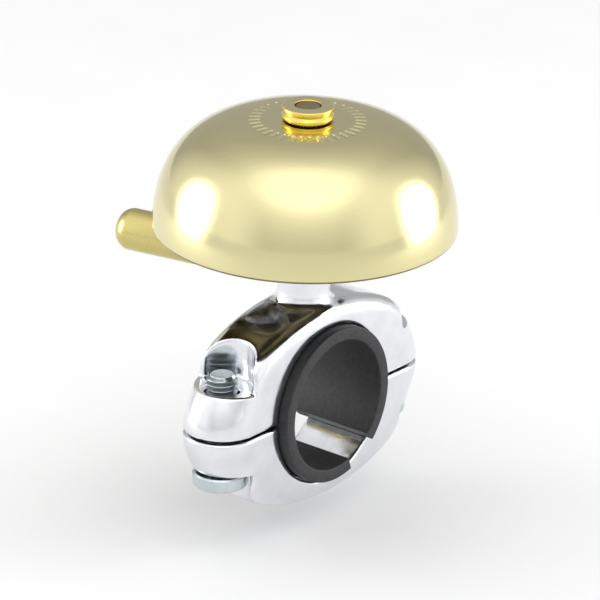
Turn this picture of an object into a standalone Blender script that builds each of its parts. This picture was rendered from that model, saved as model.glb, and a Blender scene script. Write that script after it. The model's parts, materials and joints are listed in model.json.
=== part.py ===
"""Lever-struck brass bicycle bell on a two-bolt handlebar clamp.

Frame: the origin is the middle of the handlebar bore, +X runs along the handlebar,
+Z runs up the bell's own axis. Sizes are millimetres times MM, so the scene is in metres.
"""
import bpy
import bmesh
from math import asin, cos, hypot, pi, radians, sin, sqrt
from mathutils import Matrix, Vector

MM = 0.001

# ---------------------------------------------------------------- driving sizes
# Touching or running pieces keep this gap.
GAP = 0.3 * MM

# Handlebar, rubber shim and clamp
BAR_DIAMETER = 26.0 * MM
CLAMP_BORE = 31.8 * MM
CLAMP_WALL = 4.0 * MM             # metal above and below the bore
CLAMP_EDGE_RADIUS = 3.0 * MM      # along the top and the bottom; the lugs' ends are fully round
SPLIT_GAP = 0.8 * MM
SHIM_PROUD = 1.9 * MM             # how far the shim stands out of each clamp face
SHIM_SLOT_FROM = -44.0            # degrees round the bar, from +Y towards +Z
SHIM_SLOT_TO = -73.0

# Clamp bolts
BOLT_DIAMETER = 6.0 * MM
BOLT_OFFSET = 8.1 * MM            # from the bore's wall to the bolt's middle
BOLT_HEAD_SHARE = 1.8             # head diameter over shank diameter
BOLT_HEAD_HEIGHT = 3.0 * MM
BOLT_SOCKET_FLATS = 4.0 * MM
BOLT_SOCKET_DEPTH = 1.8 * MM
BOLT_PROUD = 3.0 * MM             # thread standing above the upper lug's floor
LUG_TOP_FLOOR = 8.5 * MM          # height of the upper lug's spot face
LUG_BOTTOM_FLOOR = 8.1 * MM       # depth of the lower lug's spot face
HEAD_CLEARANCE = 0.75 * MM        # between a bolt's head and the wall of its pocket
LUG_WALL = 1.25 * MM              # from a pocket's wall to the clamp's side face

# Post and the stack on the bell's axis
POST_LENGTH = 10.8 * MM
POST_WALL = 2.45 * MM
POST_FLARE = 1.6 * MM
STUD_DIAMETER = 5.0 * MM
STUD_HOLE_DEPTH = 8.0 * MM
PLATE_THICKNESS = 1.5 * MM
PLATE_HALF_WIDTH = 7.5 * MM
LOCK_WASHER_WALL = 1.7 * MM
LOCK_WASHER_THICKNESS = 1.0 * MM
SLEEVE_WALL = 1.2 * MM
CROWN_WASHER_WALL = 3.2 * MM
CROWN_WASHER_THICKNESS = 0.8 * MM

# Dome: a superellipse turned about the axis
DOME_DIAMETER = 58.6 * MM
DOME_HEIGHT = 22.0 * MM
DOME_WALL = 1.5 * MM
RIM_ABOVE_PLATE = 1.9 * MM
DOME_SIDE_POWER = 3.6
DOME_CROWN_POWER = 2.2
NUT_WALL = 2.25 * MM
NUT_HEIGHT = 2.6 * MM
NUT_GROOVE_DEPTH = 0.5 * MM

# Striking mechanism, laid out along the thumb knob's own direction
KNOB_BEARING = 191.6              # degrees from +X, seen from above
PIVOT_DIAMETER = 3.5 * MM
PIVOT_INSIDE_ARM = 2.0 * MM       # from the arm's inner radius in to the pivot
HUB_WALL = 1.75 * MM
RIVET_HEAD_STEP = 1.45 * MM
RIVET_HEAD_HEIGHT = 1.1 * MM
PIVOT_WASHER_THICKNESS = 0.75 * MM
BUSH_WALL = 1.05 * MM
BUSH_HEIGHT = 3.35 * MM
ARM_THICKNESS = 1.6 * MM
ARM_WIDTH = 6.0 * MM
ARM_INSIDE_LEAF = 4.9 * MM        # from the upright leaf in to the arm's inner radius
ARM_SWEEP = 97.0                  # degrees from the knob line to past the hammer
TAIL_WIDTH = 4.0 * MM
KNOB_DIAMETER = 8.3 * MM
KNOB_LENGTH = 18.2 * MM
KNOB_OFF_ARM = 1.5 * MM           # from the arm's outer radius to the knob's inner end
KNOB_END_RADIUS = 3.0 * MM
KNOB_SLOT_DEPTH = 6.0 * MM
KNOB_PIN_DIAMETER = 2.0 * MM
SPRING_WIRE = 0.8 * MM
SPRING_TURNS = 2.5
SPRING_PITCH = 0.95 * MM
SPRING_LEG = 6.5 * MM
SMALL_PIN_DIAMETER = 1.4 * MM
SMALL_HEAD_DIAMETER = 2.8 * MM
SMALL_HEAD_HEIGHT = 0.7 * MM
STOP_PAST_PIVOT = 6.1 * MM
BUFFER_DIAMETER = 4.0 * MM
BUFFER_HEIGHT = 3.0 * MM
LEAF_THICKNESS = 0.6 * MM
LEAF_WIDTH = 6.4 * MM
LEAF_INSIDE_DOME = 9.9 * MM       # from the dome's outer radius in to the upright leaf
LEAF_RIVET_SPACING = 3.4 * MM
HAMMER_ABOVE_RIM = 3.9 * MM
HAMMER_DIAMETER = 8.0 * MM
HAMMER_CLEARANCE = 1.2 * MM       # from the dome's inner wall at rest
HAMMER_FACE_RISE = 1.3 * MM

ROUND_STEPS = 48
SMALL_STEPS = 20
HOLE_TURN = radians(7.0)          # keeps a hole's corners off the plate's own edges

# ---------------------------------------------------------------- derived sizes
CLAMP_HEIGHT = CLAMP_BORE + 2 * CLAMP_WALL
BOLT_HEAD_DIAMETER = BOLT_DIAMETER * BOLT_HEAD_SHARE
POCKET_RADIUS = BOLT_HEAD_DIAMETER / 2 + HEAD_CLEARANCE
HALF_WIDTH = POCKET_RADIUS + LUG_WALL
BOLT_Y = CLAMP_BORE / 2 + BOLT_OFFSET
HALF_SPAN = BOLT_Y + HALF_WIDTH
STUD_HOLE_RADIUS = STUD_DIAMETER / 2 + GAP
POST_DIAMETER = 2 * (STUD_HOLE_RADIUS + POST_WALL)
POST_TOP = CLAMP_HEIGHT / 2 + POST_LENGTH
PLATE_BOTTOM = POST_TOP + GAP
PLATE_TOP = PLATE_BOTTOM + PLATE_THICKNESS
DOME_RIM_HEIGHT = PLATE_TOP + RIM_ABOVE_PLATE
CROWN_TOP = DOME_RIM_HEIGHT + DOME_HEIGHT
CROWN_UNDERSIDE = CROWN_TOP - DOME_WALL
NUT_TOP = CROWN_TOP + GAP + NUT_HEIGHT
ARM_TOP = PLATE_BOTTOM - 2 * GAP - BUSH_HEIGHT
ARM_HEIGHT = ARM_TOP - ARM_THICKNESS / 2
ARM_BOTTOM = ARM_TOP - ARM_THICKNESS
LEAF_STAND_OFF = DOME_DIAMETER / 2 - LEAF_INSIDE_DOME
LEAF_BEND_HEIGHT = ARM_TOP + GAP + LEAF_THICKNESS / 2
HAMMER_HEIGHT = DOME_RIM_HEIGHT + HAMMER_ABOVE_RIM
LEAF_TOP = HAMMER_HEIGHT + HAMMER_DIAMETER / 2 - GAP
ARM_INNER_RADIUS = LEAF_STAND_OFF - ARM_INSIDE_LEAF
ARM_OUTER_RADIUS = ARM_INNER_RADIUS + ARM_WIDTH
PIVOT_REACH = ARM_INNER_RADIUS - PIVOT_INSIDE_ARM
ARM_HUB_RADIUS = PIVOT_DIAMETER / 2 + GAP + HUB_WALL
STOP_REACH = PIVOT_REACH + STOP_PAST_PIVOT
KNOB_INNER_END = ARM_OUTER_RADIUS + KNOB_OFF_ARM
KNOB_OUTER_END = KNOB_INNER_END + KNOB_LENGTH
BUSH_RADIUS = PIVOT_DIAMETER / 2 + GAP + BUSH_WALL
SPRING_RADIUS = BUSH_RADIUS + GAP + SPRING_WIRE / 2

# ---------------------------------------------------------------- scene and helpers
for existing in list(bpy.data.objects):
    bpy.data.objects.remove(existing, do_unlink=True)

parts = bpy.data.collections.new("bicycle_bell")
cutters = bpy.data.collections.new("cutters")
bpy.context.scene.collection.children.link(parts)
bpy.context.scene.collection.children.link(cutters)


def make_material(name, color, roughness, metallic):
    material = bpy.data.materials.new(name)
    material.use_nodes = True
    shader = material.node_tree.nodes["Principled BSDF"]
    shader.inputs["Base Color"].default_value = (*color, 1.0)
    shader.inputs["Roughness"].default_value = roughness
    shader.inputs["Metallic"].default_value = metallic
    material.diffuse_color = (*color, 1.0)
    return material


BRASS = make_material("polished_brass", (0.80, 0.72, 0.42), 0.15, 1.0)
GOLD_BRASS = make_material("turned_brass", (0.86, 0.66, 0.16), 0.25, 1.0)
ALUMINIUM = make_material("polished_aluminium", (0.86, 0.87, 0.89), 0.12, 1.0)
ZINC = make_material("zinc_steel", (0.70, 0.76, 0.78), 0.3, 1.0)
STEEL = make_material("plain_steel", (0.55, 0.55, 0.56), 0.35, 1.0)
SPRING_STEEL = make_material("spring_steel", (0.35, 0.35, 0.37), 0.3, 1.0)
RUBBER = make_material("black_rubber", (0.03, 0.03, 0.032), 0.7, 0.0)


def place(obj, parent=None, at=(0, 0, 0), turn=(0, 0, 0)):
    """Put an object at a place in its parent's frame."""
    obj.parent = parent
    obj.location = at
    obj.rotation_euler = turn
    return obj


def add_mesh(name, mesh, material):
    obj = bpy.data.objects.new(name, mesh)
    if material is None:
        cutters.objects.link(obj)
        obj.hide_render = True
        obj.display_type = "WIRE"
    else:
        parts.objects.link(obj)
        mesh.materials.append(material)
    return obj


def frame_empty(name, parent=None, at=(0, 0, 0), turn=(0, 0, 0)):
    empty = bpy.data.objects.new(name, None)
    parts.objects.link(empty)
    return place(empty, parent, at, turn)


def to_mesh_object(source, name, material):
    """Turn a modified or curve object into a plain closed mesh object in world space."""
    bpy.context.view_layer.update()
    evaluated = source.evaluated_get(bpy.context.evaluated_depsgraph_get())
    mesh = bpy.data.meshes.new_from_object(evaluated)
    mesh.transform(source.matrix_world)
    mesh.materials.clear()
    work = bmesh.new()
    work.from_mesh(mesh)
    bmesh.ops.remove_doubles(work, verts=work.verts, dist=0.001 * MM)
    work.to_mesh(mesh)
    work.free()
    obj = add_mesh(name, mesh, material)
    bpy.data.objects.remove(source, do_unlink=True)
    return obj


def turned(name, profile, material, closed=False, steps=ROUND_STEPS):
    """Turn a profile of (radius, height) points, listed down the outer side, about Z."""
    work = bmesh.new()
    points = [work.verts.new((radius, 0, height)) for radius, height in profile]
    for first, second in zip(points, points[1:]):
        work.edges.new((first, second))
    if closed:
        work.edges.new((points[-1], points[0]))
    mesh = bpy.data.meshes.new(name)
    work.to_mesh(mesh)
    work.free()
    obj = add_mesh(name, mesh, material)
    screw = obj.modifiers.new("turn", "SCREW")
    screw.steps = steps
    screw.render_steps = steps
    screw.use_merge_vertices = True
    screw.merge_threshold = 0.001 * MM
    screw.use_smooth_shade = True
    return obj


def ring(name, inner, outer, bottom, top, material, steps=ROUND_STEPS):
    profile = [(outer, top), (outer, bottom), (inner, bottom), (inner, top)]
    return turned(name, profile, material, closed=True, steps=steps)


def rod_profile(radius, bottom, top, chamfer=0.0):
    return [(0, top), (radius - chamfer, top), (radius, top - chamfer),
            (radius, bottom + chamfer), (radius - chamfer, bottom), (0, bottom)]


def cylinder(name, radius, bottom, top, material=None, steps=ROUND_STEPS):
    mesh = bpy.data.meshes.new(name)
    work = bmesh.new()
    middle = Matrix.Translation((0, 0, (bottom + top) / 2))
    bmesh.ops.create_cone(work, cap_ends=True, segments=steps, radius1=radius, radius2=radius,
                          depth=top - bottom, matrix=middle)
    work.to_mesh(mesh)
    work.free()
    return add_mesh(name, mesh, material)


def box(name, low, high, material=None):
    mesh = bpy.data.meshes.new(name)
    work = bmesh.new()
    size = Vector(high) - Vector(low)
    middle = (Vector(high) + Vector(low)) / 2
    bmesh.ops.create_cube(work, size=1.0, matrix=Matrix.Translation(middle) @ Matrix.Diagonal((*size, 1)))
    work.to_mesh(mesh)
    work.free()
    return add_mesh(name, mesh, material)


def arc(centre, radius, start, end, count):
    """Points round a centre from one angle to another, in degrees."""
    angles = [radians(start + (end - start) * i / count) for i in range(count + 1)]
    return [(centre[0] + radius * cos(a), centre[1] + radius * sin(a)) for a in angles]


def flat_plate(name, outline, bottom, top, material, edge=0.0):
    """Extrude a closed outline, with its outer edges rounded by the curve's own bevel."""
    curve = bpy.data.curves.new(name, "CURVE")
    curve.dimensions = "2D"
    curve.fill_mode = "BOTH"
    curve.extrude = (top - bottom) / 2 - edge
    curve.bevel_depth = edge
    curve.bevel_resolution = 3
    curve.offset = -edge
    spline = curve.splines.new("POLY")
    spline.points.add(len(outline) - 1)
    for point, (x, y) in zip(spline.points, outline):
        point.co = (x, y, 0, 1)
    spline.use_cyclic_u = True
    source = bpy.data.objects.new(name + "_outline", curve)
    parts.objects.link(source)
    source.location.z = (top + bottom) / 2
    return to_mesh_object(source, name, material)


def boolean(target, cutter, operation="DIFFERENCE"):
    step = target.modifiers.new(operation.lower(), "BOOLEAN")
    step.object = cutter
    step.operation = operation
    step.solver = "EXACT"
    return target


# ---------------------------------------------------------------- clamp halves
def pocket_outline(side):
    """A spot-face cut: round behind the bolt, open past the end of the lug."""
    mouth = 15                    # degrees behind the bolt's middle where the round wall ends
    back = arc((0, side * BOLT_Y), POCKET_RADIUS, -side * mouth, -side * (180 - mouth), 20)
    step = abs(back[0][1])
    splay = step + 1.0 * MM
    flank = 3 * HALF_WIDTH
    far = 2 * HALF_SPAN
    return back + [(-flank, side * splay), (-flank, side * far),
                   (flank, side * far), (flank, side * splay)]


def edge_radius(turn):
    """Rounding of the clamp's edges round its oval: small on top, fully round at the lugs' ends."""
    round_until, small_from = radians(22), radians(52)
    from_lug = asin(abs(sin(turn)))
    share = min(max((from_lug - round_until) / (small_from - round_until), 0), 1)
    ease = share * share * (3 - 2 * share)
    return HALF_WIDTH + (CLAMP_EDGE_RADIUS - HALF_WIDTH) * ease


def clamp_blank():
    """The whole clamp before it is split: an oval along the bar, lofted with its rounded edges."""
    stations, edge_steps = 72, 6
    work = bmesh.new()
    rows = []
    for i in range(stations):
        turn = 2 * pi * i / stations
        y, z = HALF_SPAN * cos(turn), CLAMP_HEIGHT / 2 * sin(turn)
        normal_y, normal_z = cos(turn) / HALF_SPAN, sin(turn) / (CLAMP_HEIGHT / 2)
        length = hypot(normal_y, normal_z)
        radius = edge_radius(turn)
        row = []
        for side in (-1, 1):
            for j in range(edge_steps + 1):
                bend = pi / 2 * (edge_steps - j if side < 0 else j) / edge_steps
                x = side * (HALF_WIDTH - radius + radius * sin(bend))
                inset = radius * (1 - cos(bend)) / length
                row.append(work.verts.new((x, y - normal_y * inset, z - normal_z * inset)))
        rows.append(row)
    for row, after in zip(rows, rows[1:] + rows[:1]):
        for a, b, c, d in zip(row, row[1:], after[1:], after):
            work.faces.new((a, b, c, d))
    work.faces.new([row[-1] for row in rows])
    work.faces.new([row[0] for row in reversed(rows)])
    bmesh.ops.remove_doubles(work, verts=work.verts, dist=0.01 * MM)
    bmesh.ops.recalc_face_normals(work, faces=work.faces)
    mesh = bpy.data.meshes.new("clamp_blank")
    work.to_mesh(mesh)
    work.free()
    return mesh


def make_clamp():
    shape = clamp_blank()
    reach = 2 * HALF_SPAN

    bore = cylinder("bore_cutter", CLAMP_BORE / 2, -2 * HALF_WIDTH, 2 * HALF_WIDTH, steps=72)
    bore.data.transform(Matrix.Rotation(radians(90), 4, "Y"))
    below = box("below_split", (-reach, -reach, -reach), (reach, reach, SPLIT_GAP / 2))
    above = box("above_split", (-reach, -reach, -SPLIT_GAP / 2), (reach, reach, reach))

    upper = add_mesh("clamp_upper", shape.copy(), ALUMINIUM)
    root = POST_DIAMETER / 2 + POST_FLARE
    flare_top = CLAMP_HEIGHT / 2 + POST_FLARE
    flare = arc((root, flare_top), POST_FLARE, 180, 270, 5)
    post_profile = [(0, POST_TOP), (POST_DIAMETER / 2, POST_TOP), *flare,
                    (root, CLAMP_BORE / 2), (0, CLAMP_BORE / 2)]
    post = turned("post_blank", post_profile, None, steps=40)
    boolean(upper, post, "UNION")
    boolean(upper, below)
    boolean(upper, bore)
    boolean(upper, cylinder("stud_hole", STUD_HOLE_RADIUS, POST_TOP - STUD_HOLE_DEPTH - GAP,
                            POST_TOP + POST_FLARE, steps=24))

    lower = add_mesh("clamp_lower", shape.copy(), ALUMINIUM)
    boolean(lower, above)
    boolean(lower, bore)

    for number, side in ((1, -1), (2, 1)):
        outline = pocket_outline(side)
        boolean(upper, flat_plate(f"top_pocket_{number}", outline, LUG_TOP_FLOOR, reach, None))
        boolean(lower, flat_plate(f"bottom_pocket_{number}", outline, -reach, -LUG_BOTTOM_FLOOR, None))
        hole = cylinder(f"bolt_hole_{number}", BOLT_DIAMETER / 2 + GAP, -reach, reach, steps=24)
        place(hole, at=(0, side * BOLT_Y, 0), turn=(0, 0, HOLE_TURN))
        boolean(upper, hole)
        boolean(lower, hole)


def make_bolts():
    shank = BOLT_DIAMETER / 2
    head = BOLT_HEAD_DIAMETER / 2
    seat = -LUG_BOTTOM_FLOOR - GAP
    tip = LUG_TOP_FLOOR + BOLT_PROUD
    bottom = seat - BOLT_HEAD_HEIGHT
    round_edge = BOLT_HEAD_HEIGHT * 0.35
    corner = arc((head - round_edge, bottom + round_edge), round_edge, 0, -90, 4)
    profile = [(0, tip), (shank - 0.6 * MM, tip), (shank, tip - 0.6 * MM), (shank, seat),
               (head, seat), *corner, (0, bottom)]
    socket = cylinder("socket_cutter", BOLT_SOCKET_FLATS / sqrt(3), bottom - 1 * MM,
                      bottom + BOLT_SOCKET_DEPTH, steps=6)
    for number, side in ((1, -1), (2, 1)):
        bolt = turned(f"clamp_bolt_{number}", profile, ZINC, steps=32)
        place(bolt, at=(0, side * BOLT_Y, 0))
        own_socket = add_mesh(f"socket_cutter_{number}", socket.data, None)
        place(own_socket, at=(0, side * BOLT_Y, 0))
        boolean(bolt, own_socket)
    bpy.data.objects.remove(socket, do_unlink=True)


def make_shim():
    inner = BAR_DIAMETER / 2
    outer = CLAMP_BORE / 2 - GAP
    half = HALF_WIDTH + SHIM_PROUD
    shim = ring("bar_shim", inner, outer, -half, half, RUBBER, steps=72)
    place(shim, turn=(0, radians(90), 0))
    reach = CLAMP_BORE
    wedge = [(0, 0), *[(reach * cos(radians(a)), reach * sin(radians(a)))
                       for a in (SHIM_SLOT_FROM, (SHIM_SLOT_FROM + SHIM_SLOT_TO) / 2, SHIM_SLOT_TO)]]
    slot = flat_plate("shim_slot", wedge, -2 * half, 2 * half, None)
    slot.data.transform(Matrix(((0, 0, 1, 0), (1, 0, 0, 0), (0, 1, 0, 0), (0, 0, 0, 1))))
    boolean(shim, slot)


# ---------------------------------------------------------------- dome and its stack
def dome_radius(height):
    """Outer radius of the dome at a height above the bar."""
    share = (height - DOME_RIM_HEIGHT) / DOME_HEIGHT
    return DOME_DIAMETER / 2 * (1 - share ** DOME_CROWN_POWER) ** (1 / DOME_SIDE_POWER)


def dome_profile(count=16):
    """Outer line of the dome from the stud hole down to the rim."""
    radius = DOME_DIAMETER / 2
    first = asin((STUD_HOLE_RADIUS / radius) ** (DOME_SIDE_POWER / 2))
    points = []
    for i in range(count + 1):
        turn = first + (pi / 2 - first) * (i / count)
        points.append((radius * sin(turn) ** (2 / DOME_SIDE_POWER),
                       DOME_RIM_HEIGHT + DOME_HEIGHT * cos(turn) ** (2 / DOME_CROWN_POWER)))
    return points


def make_dome():
    dome = turned("bell_dome", dome_profile(), BRASS, steps=ROUND_STEPS)
    wall = dome.modifiers.new("wall", "SOLIDIFY")
    wall.thickness = DOME_WALL
    wall.offset = -1
    wall.use_even_offset = True


def make_axis_stack():
    stud_bottom = POST_TOP - STUD_HOLE_DEPTH
    turned("dome_stud", rod_profile(STUD_DIAMETER / 2, stud_bottom, NUT_TOP, 0.4 * MM), ZINC, steps=24)

    radius = STUD_HOLE_RADIUS + NUT_WALL
    bottom = CROWN_TOP + GAP
    middle = bottom + NUT_HEIGHT / 2
    lip = NUT_HEIGHT * 0.28
    groove = radius - NUT_GROOVE_DEPTH
    nut = [(STUD_HOLE_RADIUS, NUT_TOP), (radius - 0.2 * MM, NUT_TOP), (radius, NUT_TOP - 0.2 * MM),
           (radius, NUT_TOP - lip), (groove, middle), (radius, bottom + lip), (radius, bottom),
           (STUD_HOLE_RADIUS, bottom)]
    turned("dome_nut", nut, GOLD_BRASS, closed=True, steps=36)

    washer_top = CROWN_UNDERSIDE - GAP
    washer_bottom = washer_top - CROWN_WASHER_THICKNESS
    ring("crown_washer", STUD_HOLE_RADIUS, STUD_HOLE_RADIUS + CROWN_WASHER_WALL, washer_bottom, washer_top,
         RUBBER, steps=32)
    lock_bottom = PLATE_TOP + GAP
    lock_top = lock_bottom + LOCK_WASHER_THICKNESS
    hole = STUD_HOLE_RADIUS
    ring("lock_washer", hole, hole + LOCK_WASHER_WALL, lock_bottom, lock_top, STEEL, steps=32)
    ring("spacer_sleeve", hole, hole + SLEEVE_WALL, lock_top + GAP, washer_bottom - GAP, ZINC,
         steps=32)


# ---------------------------------------------------------------- striking mechanism
mechanism = frame_empty("mechanism_frame", turn=(0, 0, radians(KNOB_BEARING)))
lever_pivot = frame_empty("lever_pivot", mechanism, (PIVOT_REACH, 0, 0))
hammer_bend = frame_empty("hammer_bend", mechanism, (0, -LEAF_STAND_OFF, LEAF_BEND_HEIGHT))


def hang(obj, parent, at=(0, 0, 0), turn=(0, 0, 0)):
    """Parent a piece modelled in the mechanism's frame, keeping it where it was modelled."""
    offset = Vector((0, 0, 0)) if parent is mechanism else parent.location
    return place(obj, parent, Vector(at) - offset, turn)


def headed_pin(name, radius, head_radius, head_height, bottom, top, material, foot=False):
    """A pin with a head on its top end, and on its foot as well when it is riveted over."""
    profile = [(0, top), (head_radius - 0.25 * MM, top), (head_radius, top - 0.25 * MM),
               (head_radius, top - head_height), (radius, top - head_height)]
    if foot:
        profile += [(radius, bottom + head_height), (head_radius, bottom + head_height),
                    (head_radius, bottom + 0.25 * MM), (head_radius - 0.25 * MM, bottom), (0, bottom)]
    else:
        profile += [(radius, bottom), (0, bottom)]
    return turned(name, profile, material, steps=SMALL_STEPS)


def spring_leg_pin(end_angle, direction):
    """Centre of the pin that a spring leg bears on, beside the leg's far end."""
    a = radians(end_angle)
    outward = Vector((cos(a), sin(a), 0))
    side_step = SPRING_WIRE / 2 + GAP + SMALL_PIN_DIAMETER / 2
    start = Vector((PIVOT_REACH, 0, 0)) + outward * SPRING_RADIUS
    return start + Vector(direction) * (SPRING_LEG - 1.4 * MM) + outward * side_step


def make_base_plate():
    end = PLATE_HALF_WIDTH
    outline = arc((0, 0), end, 90, 270, 16) + arc((PIVOT_REACH + 3.5 * MM, 0), end, -90, 90, 16)
    plate = hang(flat_plate("base_plate", outline, PLATE_BOTTOM, PLATE_TOP, STEEL), mechanism)
    anchor = spring_leg_pin(180, (0, -1, 0))
    stop = (STOP_REACH, TAIL_WIDTH / 2 + GAP + BUFFER_DIAMETER / 2)
    small = SMALL_PIN_DIAMETER / 2
    holes = (("stud", 0, 0, STUD_DIAMETER / 2), ("pivot", PIVOT_REACH, 0, PIVOT_DIAMETER / 2),
             ("anchor", anchor.x, anchor.y, small), ("stop", stop[0], stop[1], small))
    for label, x, y, radius in holes:
        hole = cylinder(f"plate_{label}_hole", radius + GAP, PLATE_BOTTOM - 2 * MM, PLATE_TOP + 2 * MM,
                        steps=SMALL_STEPS)
        boolean(plate, hang(hole, mechanism, (x, y, 0), (0, 0, HOLE_TURN)))

    head_top = PLATE_TOP + GAP + SMALL_HEAD_HEIGHT
    pin_foot = ARM_TOP + GAP + SPRING_TURNS * SPRING_PITCH
    pin = headed_pin("spring_anchor_pin", small, SMALL_HEAD_DIAMETER / 2, SMALL_HEAD_HEIGHT,
                     pin_foot - 0.4 * MM, head_top, STEEL)
    hang(pin, mechanism, (anchor.x, anchor.y, 0))
    pin = headed_pin("stop_pin", small, SMALL_HEAD_DIAMETER / 2, SMALL_HEAD_HEIGHT,
                     ARM_HEIGHT - BUFFER_HEIGHT / 2, head_top, STEEL)
    hang(pin, mechanism, (stop[0], stop[1], 0))
    buffer_low = ARM_HEIGHT - BUFFER_HEIGHT / 2
    sleeve = ring("stop_buffer", small + GAP, BUFFER_DIAMETER / 2, buffer_low, buffer_low + BUFFER_HEIGHT,
                  RUBBER, steps=SMALL_STEPS)
    hang(sleeve, mechanism, (stop[0], stop[1], 0))


def make_pivot():
    washer_top = ARM_BOTTOM - GAP
    washer_bottom = washer_top - PIVOT_WASHER_THICKNESS
    rivet_bottom = washer_bottom - GAP - RIVET_HEAD_HEIGHT
    rivet_top = PLATE_TOP + GAP + RIVET_HEAD_HEIGHT
    centre = (PIVOT_REACH, 0, 0)
    radius = PIVOT_DIAMETER / 2
    hang(headed_pin("pivot_rivet", radius, radius + RIVET_HEAD_STEP, RIVET_HEAD_HEIGHT, rivet_bottom,
                    rivet_top, STEEL, foot=True), mechanism, centre)
    hang(ring("pivot_washer", radius + GAP, ARM_HUB_RADIUS - 0.2 * MM, washer_bottom, washer_top, STEEL,
              steps=24), mechanism, centre)
    hang(ring("pivot_bush", radius + GAP, BUSH_RADIUS, ARM_TOP + GAP, PLATE_BOTTOM - GAP, GOLD_BRASS,
              steps=24), mechanism, centre)


def make_return_spring():
    low = ARM_TOP + GAP + SPRING_WIRE / 2 + 0.1 * MM
    steps = 12
    count = int(SPRING_TURNS * steps)
    points = [(SPRING_RADIUS, -SPRING_LEG, low)]
    for i in range(count + 1):
        a = 2 * pi * i / steps
        rise = SPRING_PITCH * i / steps
        points.append((SPRING_RADIUS * cos(a), SPRING_RADIUS * sin(a), low + rise))
    last = points[-1]
    points.append((last[0], last[1] - SPRING_LEG, last[2]))
    curve = bpy.data.curves.new("return_spring", "CURVE")
    curve.dimensions = "3D"
    curve.bevel_depth = SPRING_WIRE / 2
    curve.bevel_resolution = 2
    curve.use_fill_caps = True
    spline = curve.splines.new("POLY")
    spline.points.add(len(points) - 1)
    for point, place_at in zip(spline.points, points):
        point.co = (*place_at, 1)
    source = bpy.data.objects.new("return_spring_path", curve)
    parts.objects.link(source)
    spring = to_mesh_object(source, "return_spring", SPRING_STEEL)
    hang(spring, mechanism, (PIVOT_REACH, 0, 0))


def make_lever():
    half_tail = TAIL_WIDTH / 2
    tail_end = KNOB_INNER_END + KNOB_SLOT_DEPTH - 2 * GAP
    start = -asin(half_tail / ARM_OUTER_RADIUS)
    sweep_end = -ARM_SWEEP
    outer = arc((0, 0), ARM_OUTER_RADIUS, start * 180 / pi, sweep_end, 18)
    hub_side = -asin(ARM_HUB_RADIUS / ARM_INNER_RADIUS) * 180 / pi
    inner = arc((0, 0), ARM_INNER_RADIUS, sweep_end, hub_side, 14)
    hub = arc((PIVOT_REACH, 0), ARM_HUB_RADIUS, -75, -270, 14)
    outline = [(tail_end, half_tail), (tail_end, -half_tail), *outer, *inner, *hub,
               (PIVOT_REACH + ARM_HUB_RADIUS * 0.7, half_tail)]
    outline.reverse()
    arm = hang(flat_plate("lever_arm", outline, ARM_BOTTOM, ARM_TOP, STEEL), lever_pivot)
    drive = spring_leg_pin(0, (0, -1, 0))
    small = SMALL_PIN_DIAMETER / 2
    rivet_y = -(ARM_INNER_RADIUS + LEAF_STAND_OFF) / 2 + 0.3 * MM
    knob_pin_x = KNOB_INNER_END + KNOB_SLOT_DEPTH / 2
    holes = [("pivot", PIVOT_REACH, 0, PIVOT_DIAMETER / 2), ("drive", drive.x, drive.y, small),
             ("leaf_1", -LEAF_RIVET_SPACING / 2, rivet_y, small),
             ("leaf_2", LEAF_RIVET_SPACING / 2, rivet_y, small),
             ("knob", knob_pin_x, 0, KNOB_PIN_DIAMETER / 2)]
    for label, x, y, radius in holes:
        hole = cylinder(f"arm_{label}_hole", radius + GAP, ARM_BOTTOM - 2 * MM, ARM_TOP + 2 * MM,
                        steps=SMALL_STEPS)
        boolean(arm, hang(hole, lever_pivot, (x, y, 0), (0, 0, HOLE_TURN)))

    foot = ARM_BOTTOM - GAP - SMALL_HEAD_HEIGHT
    drive_pin = headed_pin("spring_drive_pin", small, SMALL_HEAD_DIAMETER / 2, SMALL_HEAD_HEIGHT,
                           -(ARM_TOP + GAP + SPRING_WIRE + 1.0 * MM), -foot, STEEL)
    hang(drive_pin, lever_pivot, (drive.x, drive.y, 0), (pi, 0, 0))

    leaf_top = LEAF_BEND_HEIGHT + LEAF_THICKNESS / 2
    for number, side in ((1, -1), (2, 1)):
        rivet = headed_pin(f"leaf_rivet_{number}", small, SMALL_HEAD_DIAMETER / 2, SMALL_HEAD_HEIGHT,
                           foot, leaf_top + GAP + SMALL_HEAD_HEIGHT, STEEL, foot=True)
        hang(rivet, lever_pivot, (side * LEAF_RIVET_SPACING / 2, rivet_y, 0))
    return rivet_y


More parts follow.
